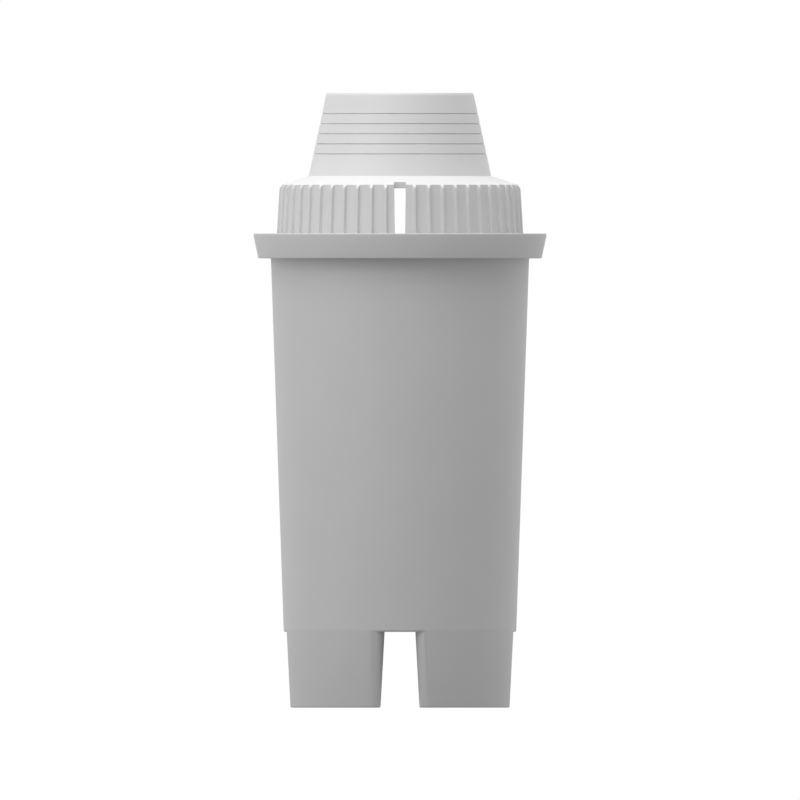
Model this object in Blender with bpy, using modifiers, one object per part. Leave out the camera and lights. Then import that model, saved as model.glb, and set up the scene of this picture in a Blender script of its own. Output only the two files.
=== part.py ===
"""A drop-in filter cartridge for a water jug: a tapered cup on four feet, closed by a ribbed twist cap.

Metres, +Z up. The origin is on the cartridge's axis, level with the bottom of the feet. Water goes in
through the four slots of the cap, down through the strainer and the two beds, and out of the feet.
"""

import math

import bmesh
import bpy
from mathutils import Matrix, Vector

# Driving dimensions -------------------------------------------------------------------------------

HEIGHT = 0.125
SEGMENTS = 72
DISC_SEGMENTS = 48
WELD = 0.00001
GAP = 0.0003
OVERSHOOT = 0.001

# The cup: its wall leans outwards from the foot line up to the tray under the cap.
FOOT_HEIGHT = 0.0154
CUP_RADIUS_AT_FEET = 0.02364
CUP_DRAFT = 0.03434
CUP_WALL = 0.0015
CUP_FLOOR_TOP = 0.0169

# The tray: a flat ledge round the mouth, with an outer lip.
TRAY_BOTTOM = 0.09133
TRAY_FLOOR = 0.09285
TRAY_TOP = 0.09642
TRAY_BOTTOM_RADIUS = 0.02880
TRAY_TOP_RADIUS = 0.02982
TRAY_LIP = 0.00122
EDGE = 0.0003

# The feet, divided by a cross-shaped channel that widens downwards.
CHANNEL_HALF_WIDTH_TOP = 0.00312
CHANNEL_HALF_WIDTH_BOTTOM = 0.00395
FOOT_CORNER = 0.00193
FOOT_WALL = 0.0015
POCKET_CORNER = 0.0007
POCKET_INSET = 0.0017
OUTLET_WIDTH = 0.0014
OUTLET_PITCH = 0.0033
# Each outlet of a foot: its offset from the foot's middle line, its distance from the axis, its length.
OUTLETS = ((-OUTLET_PITCH, 0.0158, 0.0065), (0.0, 0.0146, 0.0095), (OUTLET_PITCH, 0.0158, 0.0065))

# The cap: a cone to hold it by, a sloping shoulder and a ribbed skirt with four slots.
CAP_WALL = 0.00125
CONE_TOP_RADIUS = 0.01492
CONE_BOTTOM_RADIUS = 0.01855
CONE_BOTTOM = 0.10805
SHOULDER_SLOPE = 0.317
SHOULDER_THICKNESS = 0.00127
SHOULDER_CORNER = 0.0013
SKIRT_RADIUS_AT_TRAY = 0.0252
SKIRT_DRAFT = 0.0588
RIB_COUNT = 52
RIB_TOP = 0.1063
RIB_WIDTH = 0.0006
RIB_DEPTH = 0.0005
SLOT_COUNT = 4
SLOT_WIDTH_TOP = 0.00234
SLOT_WIDTH_BOTTOM = 0.00204
SLOT_BOTTOM = 0.0954
SLOT_INNER_RADIUS = 0.0222
VENT_RADIUS = 0.0010

# The plug of the cap goes down into the cup's mouth.
PLUG_RADIUS = 0.0235
PLUG_BORE = 0.0223
PLUG_BOTTOM = 0.0845
PLUG_SHELF = 0.0948
SNAP_GROOVE_RADIUS = 0.02285
SNAP_GROOVE_BOTTOM = 0.0882
SNAP_GROOVE_TOP = 0.0898

# The quarter-turn closure: four lugs in the mouth, over four on the plug, all on one steep helix.
LUG_COUNT = 4
LUG_SWEEP = math.radians(60)
LUG_LEAD = 0.024
LUG_RADIUS = 0.0007
LUG_POINTS = 13
CUP_LUG_PATH_RADIUS = 0.02455
CUP_LUG_START = 0.0872
CAP_LUG_PATH_RADIUS = 0.0236
CAP_LUG_DROP = 0.00155

# The strainer that the plug carries on a snap ring, free to swivel.
STRAINER_BORE = 0.0206
STRAINER_RADIUS = 0.0220
STRAINER_BOTTOM = 0.0828
STRAINER_TOP = 0.0900
STRAINER_FLANGE_RADIUS = 0.0234
STRAINER_FLANGE_TOP = 0.0842
SNAP_BEAD_RADIUS = 0.02255
SPOKE_COUNT = 6
SPOKE_WIDTH = 0.0013
SPOKE_BOTTOM = 0.0830
SPOKE_TOP = 0.0844
HUB_RADIUS = 0.0026
TAB_RADIUS = 0.0241
TAB_SWEEP = math.radians(22)

# What lies across the cup, from its floor upwards: each piece's underside and top.
GRID_LEVELS = (0.0172, 0.0187)
LOWER_MESH_LEVELS = (0.0190, 0.0194)
LOWER_FELT_LEVELS = (0.0197, 0.0219)
RESIN_LEVELS = (0.0222, 0.0477)
SEPARATOR_LEVELS = (0.0480, 0.0502)
CARBON_LEVELS = (0.0505, 0.0793)
UPPER_FELT_LEVELS = (0.0796, 0.0823)
STRAINER_MESH_LEVELS = (0.0847, 0.0851)
GRID_SLOT_PITCH = 0.0036
GRID_SLOT_WIDTH = 0.0020
GRID_SLOTS_EACH_SIDE = 5
GRID_RIM = 0.0016
GRID_SPINE = 0.0016

# Sections -----------------------------------------------------------------------------------------


def cup_radius(height):
    """Outside radius of the cup's wall at a height."""
    return CUP_RADIUS_AT_FEET + CUP_DRAFT * (height - FOOT_HEIGHT)


def cavity_radius(height):
    """Inside radius of the cup's wall at a height."""
    return cup_radius(height) - CUP_WALL


def tray_radius(height):
    """Outside radius of the tray's lip at a height."""
    rise = (height - TRAY_BOTTOM) / (TRAY_TOP - TRAY_BOTTOM)
    return TRAY_BOTTOM_RADIUS + rise * (TRAY_TOP_RADIUS - TRAY_BOTTOM_RADIUS)


def channel_half_width(height):
    """Half the gap between two feet at a height."""
    rise = height / FOOT_HEIGHT
    return CHANNEL_HALF_WIDTH_BOTTOM + rise * (CHANNEL_HALF_WIDTH_TOP - CHANNEL_HALF_WIDTH_BOTTOM)


def cone_radius(height):
    """Outside radius of the cap's cone at a height."""
    rise = (height - CONE_BOTTOM) / (HEIGHT - CONE_BOTTOM)
    return CONE_BOTTOM_RADIUS + rise * (CONE_TOP_RADIUS - CONE_BOTTOM_RADIUS)


def skirt_radius(height):
    """Outside radius of the cap's skirt at a height, over the ribs."""
    return SKIRT_RADIUS_AT_TRAY - SKIRT_DRAFT * (height - TRAY_TOP)


def shoulder_height(radius):
    """Height of the shoulder's upper face at a radius."""
    return CONE_BOTTOM - SHOULDER_SLOPE * (radius - CONE_BOTTOM_RADIUS)


def shoulder_corner(steps):
    """The rounded edge where the shoulder turns down into the skirt, as an arc tangent to both."""
    fall = math.atan(SHOULDER_SLOPE)
    lean = math.atan(SKIRT_DRAFT)
    at_tray = shoulder_height(SKIRT_RADIUS_AT_TRAY)
    meeting = TRAY_TOP + (at_tray - TRAY_TOP) / (1 - SHOULDER_SLOPE * SKIRT_DRAFT)
    run = SHOULDER_CORNER * math.tan((math.pi / 2 - fall - lean) / 2)
    start_radius = skirt_radius(meeting) - run * math.cos(fall)
    start_height = meeting + run * math.sin(fall)
    centre_radius = start_radius - SHOULDER_CORNER * math.sin(fall)
    centre_height = start_height - SHOULDER_CORNER * math.cos(fall)
    return arc((centre_radius, centre_height), SHOULDER_CORNER, math.pi / 2 - fall, lean, steps)


def arc(centre, radius, start, end, steps):
    """Points of a circular arc, both ends included."""
    points = []
    for step in range(steps + 1):
        angle = start + (end - start) * step / steps
        points.append((centre[0] + radius * math.cos(angle), centre[1] + radius * math.sin(angle)))
    return points


def foot_corners(half_gap, radius, corner):
    """A foot's three rounded corners in the +X +Y quarter, anticlockwise, and the outer corners' angle."""
    inset = half_gap + corner
    reach = math.sqrt((radius - corner) ** 2 - inset**2)
    angle = math.atan2(inset, reach)
    near_x = arc((reach, inset), corner, -math.pi / 2, angle, 5)
    near_y = arc((inset, reach), corner, math.pi / 2 - angle, math.pi, 5)
    inner = arc((inset, inset), corner, math.pi, 1.5 * math.pi, 3)
    return near_x, near_y, inner, angle


def foot_section(half_gap, radius, corner):
    """Outline of one foot, anticlockwise, seen from above."""
    near_x, near_y, inner, angle = foot_corners(half_gap, radius, corner)
    outer = arc((0.0, 0.0), radius, angle, math.pi / 2 - angle, 10)
    return near_x + outer[1:-1] + near_y + inner


def channel_section(half_gap, radius, corner):
    """Outline of the cross-shaped channel round the four feet, anticlockwise, running out past the wall."""
    near_x, near_y, inner, angle = foot_corners(half_gap, radius, corner)
    beyond = 1.1 * radius
    quarter = [(beyond * math.cos(angle), beyond * math.sin(angle))]
    quarter += near_x[::-1] + inner[::-1] + near_y[::-1]
    quarter.append((beyond * math.sin(angle), beyond * math.cos(angle)))
    outline = []
    for turn in range(4):
        turned_by = Matrix.Rotation(turn * math.pi / 2, 2)
        outline += [tuple(turned_by @ Vector(point)) for point in quarter]
    return outline


# Making pieces ------------------------------------------------------------------------------------


def new_collection(name):
    collection = bpy.data.collections.new(name)
    bpy.context.scene.collection.children.link(collection)
    return collection


def plastic(name, colour, roughness):
    """A plain Principled material."""
    material = bpy.data.materials.new(name)
    material.use_nodes = True
    shader = material.node_tree.nodes["Principled BSDF"]
    shader.inputs["Base Color"].default_value = (*colour, 1.0)
    shader.inputs["Roughness"].default_value = roughness
    shader.inputs["Metallic"].default_value = 0.0
    return material


def linked(name, mesh, collection):
    piece = bpy.data.objects.new(name, mesh)
    collection.objects.link(piece)
    return piece


def turned(name, outline, collection, closed=False, steps=SEGMENTS):
    """A solid turned round Z. The outline goes down its outer side; it is open where it ends on the axis."""
    work = bmesh.new()
    points = [work.verts.new((radius, 0.0, height)) for radius, height in outline]
    for first, second in zip(points, points[1:]):
        work.edges.new((first, second))
    if closed:
        work.edges.new((points[-1], points[0]))
    mesh = bpy.data.meshes.new(name)
    work.to_mesh(mesh)
    work.free()
    piece = linked(name, mesh, collection)
    screw = piece.modifiers.new("Turn", "SCREW")
    screw.steps = steps
    screw.render_steps = steps
    screw.use_merge_vertices = True
    screw.merge_threshold = WELD
    return piece


def lofted(name, lower, upper, levels, collection):
    """A straight-sided solid between two outlines with the same number of points."""
    work = bmesh.new()
    base = [work.verts.new((x, y, levels[0])) for x, y in lower]
    top = [work.verts.new((x, y, levels[1])) for x, y in upper]
    work.faces.new(top)
    work.faces.new(base[::-1])
    for index in range(len(base)):
        work.faces.new((base[index - 1], base[index], top[index], top[index - 1]))
    mesh = bpy.data.meshes.new(name)
    work.to_mesh(mesh)
    work.free()
    return linked(name, mesh, collection)


def add_box(work, size, matrix):
    """One box of this size in a bmesh, placed by the matrix."""
    bmesh.ops.create_cube(work, size=1.0, matrix=matrix @ Matrix.Diagonal((*size, 1.0)))


def boxes(name, sizes_and_places, collection):
    """One object that holds a box for each size and matrix."""
    work = bmesh.new()
    for size, matrix in sizes_and_places:
        add_box(work, size, matrix)
    mesh = bpy.data.meshes.new(name)
    work.to_mesh(mesh)
    work.free()
    return linked(name, mesh, collection)


def lug(name, path_radius, start_height, start_angle, collection):
    """A round bead along a stretch of helix, as a mesh."""
    curve = bpy.data.curves.new(name, "CURVE")
    curve.dimensions = "3D"
    curve.bevel_depth = LUG_RADIUS
    curve.bevel_resolution = 2
    curve.use_fill_caps = True
    spline = curve.splines.new("POLY")
    spline.points.add(LUG_POINTS - 1)
    for index, point in enumerate(spline.points):
        swept = LUG_SWEEP * index / (LUG_POINTS - 1)
        angle = start_angle + swept
        height = start_height + LUG_LEAD * swept / (2 * math.pi)
        point.co = (path_radius * math.cos(angle), path_radius * math.sin(angle), height, 1.0)
    path = linked(name + "_path", curve, collection)
    graph = bpy.context.evaluated_depsgraph_get()
    mesh = bpy.data.meshes.new_from_object(path.evaluated_get(graph))
    mesh.name = name
    work = bmesh.new()
    work.from_mesh(mesh)
    bmesh.ops.remove_doubles(work, verts=work.verts, dist=WELD)
    bmesh.ops.recalc_face_normals(work, faces=work.faces)
    work.to_mesh(mesh)
    work.free()
    piece = linked(name, mesh, collection)
    piece.matrix_world = path.matrix_world
    bpy.data.objects.remove(path)
    return piece


def lugs(name, path_radius, start_height, collection):
    pieces = []
    for index in range(LUG_COUNT):
        start_angle = 2 * math.pi * index / LUG_COUNT
        pieces.append(lug(f"{name}_{index + 1}", path_radius, start_height, start_angle, collection))
    return pieces


def combine(piece, operation, others):
    """Joins the others to a piece, or cuts them from it."""
    for other in others:
        other.hide_render = True
        other.display_type = "WIRE"
        boolean = piece.modifiers.new(other.name, "BOOLEAN")
        boolean.operation = operation
        boolean.object = other


def settle(piece, material):
    """Bakes a piece's modifiers into its mesh, then gives it its material and its shading."""
    graph = bpy.context.evaluated_depsgraph_get()
    mesh = bpy.data.meshes.new_from_object(piece.evaluated_get(graph))
    mesh.name = piece.name
    mesh.materials.clear()
    mesh.materials.append(material)
    mesh.shade_smooth()
    mesh.set_sharp_from_angle(angle=math.radians(30))
    piece.modifiers.clear()
    piece.data = mesh
    return piece


# The cup ------------------------------------------------------------------------------------------


def cup_outline():
    """From the middle of the inside floor, up the cavity, over the tray and down the outside."""
    lip_inside = tray_radius(TRAY_FLOOR) - TRAY_LIP
    return [
        (0.0, CUP_FLOOR_TOP),
        (cavity_radius(CUP_FLOOR_TOP), CUP_FLOOR_TOP),
        (cavity_radius(TRAY_FLOOR), TRAY_FLOOR),
        (lip_inside, TRAY_FLOOR),
        (TRAY_TOP_RADIUS - TRAY_LIP, TRAY_TOP),
        (TRAY_TOP_RADIUS - EDGE, TRAY_TOP),
        (tray_radius(TRAY_TOP - EDGE), TRAY_TOP - EDGE),
        (TRAY_BOTTOM_RADIUS, TRAY_BOTTOM),
        (cup_radius(TRAY_BOTTOM), TRAY_BOTTOM),
        (cup_radius(EDGE), EDGE),
        (cup_radius(0.0) - EDGE, 0.0),
        (0.0, 0.0),
    ]


def channel_cutter(cutters):
    below = -OVERSHOOT
    lower = channel_section(channel_half_width(below), cup_radius(below), FOOT_CORNER)
    upper = channel_section(channel_half_width(FOOT_HEIGHT), cup_radius(FOOT_HEIGHT), FOOT_CORNER)
    return lofted("channel_cutter", lower, upper, (below, FOOT_HEIGHT), cutters)


def pocket_cutters(cutters):
    """The hollow inside each foot, open to the cup above it."""
    levels = (FOOT_WALL, CUP_FLOOR_TOP + OVERSHOOT)
    sections = []
    for height in levels:
        half_gap = channel_half_width(height) + FOOT_WALL
        sections.append(foot_section(half_gap, cup_radius(height) - POCKET_INSET, POCKET_CORNER))
    pieces = []
    for quarter in range(4):
        piece = lofted(f"pocket_cutter_{quarter + 1}", sections[0], sections[1], levels, cutters)
        piece.rotation_euler.z = quarter * math.pi / 2
        pieces.append(piece)
    return pieces


def outlet_cutter(cutters):
    """Three slots through the floor of each foot."""
    depth = 2 * (FOOT_WALL + OVERSHOOT)
    placed = []
    for quarter in range(4):
        turn = Matrix.Rotation(math.pi / 4 + quarter * math.pi / 2, 4, "Z")
        for sideways, along, length in OUTLETS:
            place = turn @ Matrix.Translation((along, sideways, 0.0))
            placed.append(((length, OUTLET_WIDTH, depth), place))
    return boxes("outlet_cutter", placed, cutters)


def make_cup(parts, cutters, material):
    cup = turned("housing", cup_outline(), parts)
    combine(cup, "DIFFERENCE", [channel_cutter(cutters)])
    combine(cup, "DIFFERENCE", pocket_cutters(cutters))
    combine(cup, "DIFFERENCE", [outlet_cutter(cutters)])
    combine(cup, "UNION", lugs("mouth_lug", CUP_LUG_PATH_RADIUS, CUP_LUG_START, cutters))
    return settle(cup, material)


# The cap ------------------------------------------------------------------------------------------


def cap_outline():
    """From the middle of the top, down the outside, round the plug and up the inside."""
    skirt_bottom = TRAY_FLOOR + GAP
    corner = shoulder_corner(3)
    inside_corner = corner[-1][0] - CAP_WALL
    ceiling_edge = inside_corner - 0.0006
    cone_inside = CONE_BOTTOM_RADIUS - CAP_WALL
    return [
        (0.0, HEIGHT),
        (CONE_TOP_RADIUS - EDGE, HEIGHT),
        (cone_radius(HEIGHT - EDGE), HEIGHT - EDGE),
        (CONE_BOTTOM_RADIUS, CONE_BOTTOM),
        *corner,
        (skirt_radius(skirt_bottom), skirt_bottom),
        (PLUG_RADIUS, skirt_bottom),
        (PLUG_RADIUS, PLUG_BOTTOM + 0.0007),
        (PLUG_RADIUS - 0.0004, PLUG_BOTTOM),
        (PLUG_BORE, PLUG_BOTTOM),
        (PLUG_BORE, SNAP_GROOVE_BOTTOM),
        (SNAP_GROOVE_RADIUS, SNAP_GROOVE_BOTTOM),
        (SNAP_GROOVE_RADIUS, SNAP_GROOVE_TOP),
        (PLUG_BORE, SNAP_GROOVE_TOP),
        (PLUG_BORE, PLUG_SHELF),
        (skirt_radius(PLUG_SHELF) - CAP_WALL, PLUG_SHELF + 0.0012),
        (inside_corner, corner[-1][1] - 0.0004),
        (ceiling_edge, shoulder_height(ceiling_edge) - SHOULDER_THICKNESS),
        (cone_inside, shoulder_height(cone_inside) - SHOULDER_THICKNESS),
        (cone_radius(HEIGHT - CAP_WALL) - CAP_WALL, HEIGHT - CAP_WALL),
        (0.0, HEIGHT - CAP_WALL),
    ]


def rib_cutter(cutters):
    """The hollows between the ribs, from the skirt's lower edge to the shoulder."""
    pitch = 2 * math.pi / RIB_COUNT
    low = TRAY_FLOOR - OVERSHOOT
    high = RIB_TOP
    middle = (low + high) / 2
    outwards = 2 * OVERSHOOT
    width = pitch * skirt_radius(middle) - RIB_WIDTH
    size = (outwards, width, high - low)
    lean = Matrix.Rotation(-math.atan(SKIRT_DRAFT), 4, "Y")
    radius = skirt_radius(middle) - RIB_DEPTH + outwards / 2
    placed = []
    for index in range(RIB_COUNT):
        turn = Matrix.Rotation((index + 0.5) * pitch, 4, "Z")
        placed.append((size, turn @ Matrix.Translation((radius, 0.0, middle)) @ lean))
    return boxes("rib_cutter", placed, cutters)


def slot_cutters(cutters):
    """Each slot narrows a little downwards and notches the shoulder's edge."""
    levels = (SLOT_BOTTOM, CONE_BOTTOM + OVERSHOOT)
    far = SKIRT_RADIUS_AT_TRAY + 2 * OVERSHOOT
    slope = (SLOT_WIDTH_TOP - SLOT_WIDTH_BOTTOM) / (RIB_TOP - SLOT_BOTTOM)
    sections = []
    for height in levels:
        half = (SLOT_WIDTH_BOTTOM + slope * (height - SLOT_BOTTOM)) / 2
        sections.append([(SLOT_INNER_RADIUS, -half), (far, -half), (far, half), (SLOT_INNER_RADIUS, half)])
    pieces = []
    for index in range(SLOT_COUNT):
        piece = lofted(f"slot_cutter_{index + 1}", sections[0], sections[1], levels, cutters)
        piece.rotation_euler.z = 2 * math.pi * index / SLOT_COUNT
        pieces.append(piece)
    return pieces


def vent_cutter(cutters):
    top = HEIGHT + OVERSHOOT
    bottom = HEIGHT - CAP_WALL - OVERSHOOT
    outline = [(0.0, top), (VENT_RADIUS, top), (VENT_RADIUS, bottom), (0.0, bottom)]
    return turned("vent_cutter", outline, cutters, steps=24)


def make_cap(parts, cutters, material):
    cap = turned("cap", cap_outline(), parts)
    combine(cap, "DIFFERENCE", [rib_cutter(cutters)])
    combine(cap, "DIFFERENCE", slot_cutters(cutters))
    combine(cap, "DIFFERENCE", [vent_cutter(cutters)])
    height = CUP_LUG_START - CAP_LUG_DROP
    combine(cap, "UNION", lugs("plug_lug", CAP_LUG_PATH_RADIUS, height, cutters))
    return settle(cap, material)


# The strainer -------------------------------------------------------------------------------------


def strainer_outline():
    """The ring: its top, the snap bead, the flange and the bore."""
    bead = (SNAP_GROOVE_BOTTOM + GAP, SNAP_GROOVE_TOP - GAP)
    return [
        (STRAINER_RADIUS - EDGE, STRAINER_TOP),
        (STRAINER_RADIUS, bead[1]),
        (SNAP_BEAD_RADIUS, bead[1] - EDGE),
        (SNAP_BEAD_RADIUS, bead[0] + EDGE),
        (STRAINER_RADIUS, bead[0]),
        (STRAINER_RADIUS, STRAINER_FLANGE_TOP),
        (STRAINER_FLANGE_RADIUS, STRAINER_FLANGE_TOP),
        (STRAINER_FLANGE_RADIUS, STRAINER_BOTTOM),
        (STRAINER_BORE, STRAINER_BOTTOM),
        (STRAINER_BORE, STRAINER_TOP),
    ]


def strainer_tabs(cutters):
    """Four tabs on the flange. Each rises between two of the mouth's lugs, so the strainer can't turn."""
    inner = STRAINER_FLANGE_RADIUS - 0.0008
    inset = 0.0002
    levels = (STRAINER_BOTTOM + inset, STRAINER_FLANGE_TOP - inset)
    free_middle = (LUG_SWEEP + 2 * math.pi / LUG_COUNT) / 2
    outline = arc((0.0, 0.0), TAB_RADIUS, -TAB_SWEEP / 2, TAB_SWEEP / 2, 4)
    outline += arc((0.0, 0.0), inner, TAB_SWEEP / 2, -TAB_SWEEP / 2, 4)
    pieces = []
    for index in range(LUG_COUNT):
        piece = lofted(f"strainer_tab_{index + 1}", outline, outline, levels, cutters)
        piece.rotation_euler.z = free_middle + 2 * math.pi * index / LUG_COUNT
        pieces.append(piece)
    return pieces


def strainer_spokes(cutters):
    """Bars right across the bore, and the hub where they cross."""
    length = 2 * STRAINER_BORE + 0.001
    size = (length, SPOKE_WIDTH, SPOKE_TOP - SPOKE_BOTTOM)
    pieces = []
    for index in range(SPOKE_COUNT // 2):
        turn = Matrix.Rotation(2 * math.pi * index / SPOKE_COUNT, 4, "Z")
        place = turn @ Matrix.Translation((0.0, 0.0, (SPOKE_BOTTOM + SPOKE_TOP) / 2))
        pieces.append(boxes(f"spoke_{index + 1}", [(size, place)], cutters))
    top = SPOKE_TOP + 0.0002
    bottom = SPOKE_BOTTOM - 0.0002
    outline = [(0.0, top), (HUB_RADIUS, top), (HUB_RADIUS, bottom), (0.0, bottom)]
    pieces.append(turned("hub", outline, cutters, steps=24))
    return pieces


def make_strainer(parts, cutters, material):
    frame = turned("strainer_frame", strainer_outline(), parts, closed=True)
    combine(frame, "UNION", strainer_spokes(cutters))
    combine(frame, "UNION", strainer_tabs(cutters))
    return settle(frame, material)


# What lies across the cup -------------------------------------------------------------------------


def make_layer(name, levels, parts, material):
    """A disc or a bed that fills the cup's width between two heights."""
    low, high = levels
    outline = [
        (0.0, high),
        (cavity_radius(high) - GAP, high),
        (cavity_radius(low) - GAP, low),
        (0.0, low),
    ]
    return settle(turned(name, outline, parts, steps=DISC_SEGMENTS), material)


def make_strainer_mesh(parts, material):
    low, high = STRAINER_MESH_LEVELS
    radius = STRAINER_BORE - GAP
    outline = [(0.0, high), (radius, high), (radius, low), (0.0, low)]
    return settle(turned("strainer_mesh", outline, parts, steps=DISC_SEGMENTS), material)


def grid_slot_cutter(cutters):
    """Parallel slots on both sides of a spine, as long as the round rim allows."""
    low, high = GRID_LEVELS
    depth = high - low + 2 * OVERSHOOT
    reach = cavity_radius(low) - GAP - GRID_RIM
    placed = []
    for index in range(-GRID_SLOTS_EACH_SIDE, GRID_SLOTS_EACH_SIDE + 1):
        across = index * GRID_SLOT_PITCH
        end = math.sqrt(reach**2 - (abs(across) + GRID_SLOT_WIDTH / 2) ** 2)
        length = end - GRID_SPINE / 2
        for side in (-1, 1):
            place = Matrix.Translation((across, side * (GRID_SPINE + length) / 2, (low + high) / 2))
            placed.append(((GRID_SLOT_WIDTH, length, depth), place))
    return boxes("grid_slot_cutter", placed, cutters)


def make_grid(parts, cutters, material):
    low, high = GRID_LEVELS
    radius = cavity_radius(low) - GAP
    outline = [(0.0, high), (radius, high), (radius, low), (0.0, low)]
    grid = turned("support_grid", outline, parts, steps=DISC_SEGMENTS)
    combine(grid, "DIFFERENCE", [grid_slot_cutter(cutters)])
    return settle(grid, material)


# The assembly -------------------------------------------------------------------------------------


def joint_empty(name, height, parent, parts):
    """An empty on the cartridge's axis, which carries what moves with one joint."""
    empty = linked(name, None, parts)
    empty.empty_display_size = 0.01
    empty.location.z = height - (parent.location.z if parent else 0.0)
    empty.parent = parent
    return empty


def carry(empty, pieces):
    """Parents pieces to an empty and keeps them where they are."""
    bpy.context.view_layer.update()
    for piece in pieces:
        piece.parent = empty
        piece.matrix_parent_inverse = empty.matrix_world.inverted()


def main():
    for old in list(bpy.data.objects):
        bpy.data.objects.remove(old)
    parts = new_collection("jug_filter_cartridge")
    cutters = new_collection("cutters")

    cup_plastic = plastic("cup_plastic", (0.47, 0.47, 0.47), 0.5)
    cap_plastic = plastic("cap_plastic", (0.80, 0.80, 0.80), 0.45)
    make_cup(parts, cutters, cup_plastic)
    cap = make_cap(parts, cutters, cap_plastic)
    strainer = make_strainer(parts, cutters, plastic("strainer_plastic", (0.72, 0.72, 0.72), 0.5))
    strainer_mesh = make_strainer_mesh(parts, plastic("strainer_gauze", (0.66, 0.66, 0.64), 0.7))
    make_layer("upper_felt", UPPER_FELT_LEVELS, parts, plastic("upper_fleece", (0.82, 0.82, 0.80), 0.9))
    make_layer("carbon_bed", CARBON_LEVELS, parts, plastic("carbon", (0.02, 0.02, 0.02), 0.6))
    make_layer("separator_felt", SEPARATOR_LEVELS, parts, plastic("middle_fleece", (0.80, 0.80, 0.78), 0.9))
    make_layer("resin_bed", RESIN_LEVELS, parts, plastic("resin", (0.62, 0.42, 0.16), 0.35))
    make_layer("lower_felt", LOWER_FELT_LEVELS, parts, plastic("lower_fleece", (0.78, 0.78, 0.76), 0.9))
    make_layer("lower_mesh", LOWER_MESH_LEVELS, parts, plastic("lower_gauze", (0.64, 0.64, 0.62), 0.7))
    make_grid(parts, cutters, plastic("grid_plastic", (0.60, 0.60, 0.60), 0.5))

    lift = joint_empty("strainer_lift", STRAINER_BOTTOM, None, parts)
    turn = joint_empty("cap_turn", PLUG_BOTTOM, lift, parts)
    carry(lift, [strainer, strainer_mesh])
    carry(turn, [cap])


main()
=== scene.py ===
# %% [markdown]
# # A filter cartridge for a water jug
#
# The real object is a round plastic cup that drops into the funnel of a water jug. A white cap closes it.
# The working model already holds every part at its true size and place, with the cap's turning joint.
# Here each part gets its finished surface: round edges, grip ribs, gauze, fleece and granules.

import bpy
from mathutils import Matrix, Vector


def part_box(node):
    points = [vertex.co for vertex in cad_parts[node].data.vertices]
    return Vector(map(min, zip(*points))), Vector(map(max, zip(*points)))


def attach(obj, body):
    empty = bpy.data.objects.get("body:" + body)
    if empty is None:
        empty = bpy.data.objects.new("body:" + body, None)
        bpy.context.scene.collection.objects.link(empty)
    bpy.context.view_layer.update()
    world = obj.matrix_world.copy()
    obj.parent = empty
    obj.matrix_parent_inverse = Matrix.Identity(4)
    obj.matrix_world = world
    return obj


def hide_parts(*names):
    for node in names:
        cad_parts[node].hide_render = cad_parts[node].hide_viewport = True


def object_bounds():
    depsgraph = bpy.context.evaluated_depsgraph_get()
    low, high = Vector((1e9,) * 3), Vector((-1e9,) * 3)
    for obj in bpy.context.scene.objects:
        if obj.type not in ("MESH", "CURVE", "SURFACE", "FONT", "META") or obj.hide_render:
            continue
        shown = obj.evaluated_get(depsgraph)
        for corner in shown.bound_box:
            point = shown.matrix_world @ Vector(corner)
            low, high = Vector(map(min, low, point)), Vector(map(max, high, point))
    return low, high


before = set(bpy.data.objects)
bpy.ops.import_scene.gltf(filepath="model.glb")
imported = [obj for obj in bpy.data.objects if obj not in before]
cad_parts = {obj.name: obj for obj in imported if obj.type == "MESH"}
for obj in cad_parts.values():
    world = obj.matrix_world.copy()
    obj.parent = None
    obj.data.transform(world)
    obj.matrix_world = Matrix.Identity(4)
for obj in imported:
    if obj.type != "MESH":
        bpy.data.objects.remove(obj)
cad_low, cad_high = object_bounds()
print("parts:", sorted(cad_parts))

# %% [markdown]
# ## Sizes
#
# The heights and radii that the working model shows on its outside are read from its parts' boxes. The few
# that lie between, such as the draft of a wall, are written down once here, in metres. Moulded parts lean
# by a degree or more so that they leave the mould, so radii are functions of height.

# %% Read the outside sizes from the working model
import math

import bmesh
import bpy
from mathutils import Matrix, Vector

MM = 0.001
HEIGHT = cad_high.z
TRAY_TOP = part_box("housing")[1].z
TRAY_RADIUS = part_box("housing")[1].x
STRAINER_LOW, STRAINER_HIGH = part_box("strainer_frame")
CAP_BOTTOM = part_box("cap")[0].z
print(f"height {HEIGHT / MM:.1f} mm, tray {2 * TRAY_RADIUS / MM:.1f} mm across")

# %% The cup's own measures
FOOT_HEIGHT = 15.4 * MM
FLOOR_TOP = 16.9 * MM
TRAY_BOTTOM = 91.33 * MM
TRAY_FLOOR = 92.85 * MM
CUP_WALL = 1.5 * MM
CUP_RADIUS_AT_FEET = 23.64 * MM
CUP_DRAFT = 0.03434


def cup_radius(height):
    """Outside radius of the cup, which widens upwards by two degrees a side."""
    return CUP_RADIUS_AT_FEET + CUP_DRAFT * (height - FOOT_HEIGHT)


def cavity_radius(height):
    return cup_radius(height) - CUP_WALL


print(f"cup: {2 * cup_radius(TRAY_BOTTOM) / MM:.1f} mm across under the tray")

# %% [markdown]
# ## Turning a shell from a circle
#
# Most of this object is turned, as if on a lathe. By hand, such a shell starts as a circle, which is then
# extruded from ring to ring and scaled at each step. The same is done here along a list of radii and
# heights. Real mouldings have no sharp corners, so each corner of the list may name a rounding radius, and
# the corner is replaced by an arc with a holding ring on each side, which keeps the long walls' shading
# straight.

# %% Round the corners of a profile
HOLD = 0.12 * MM


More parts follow.
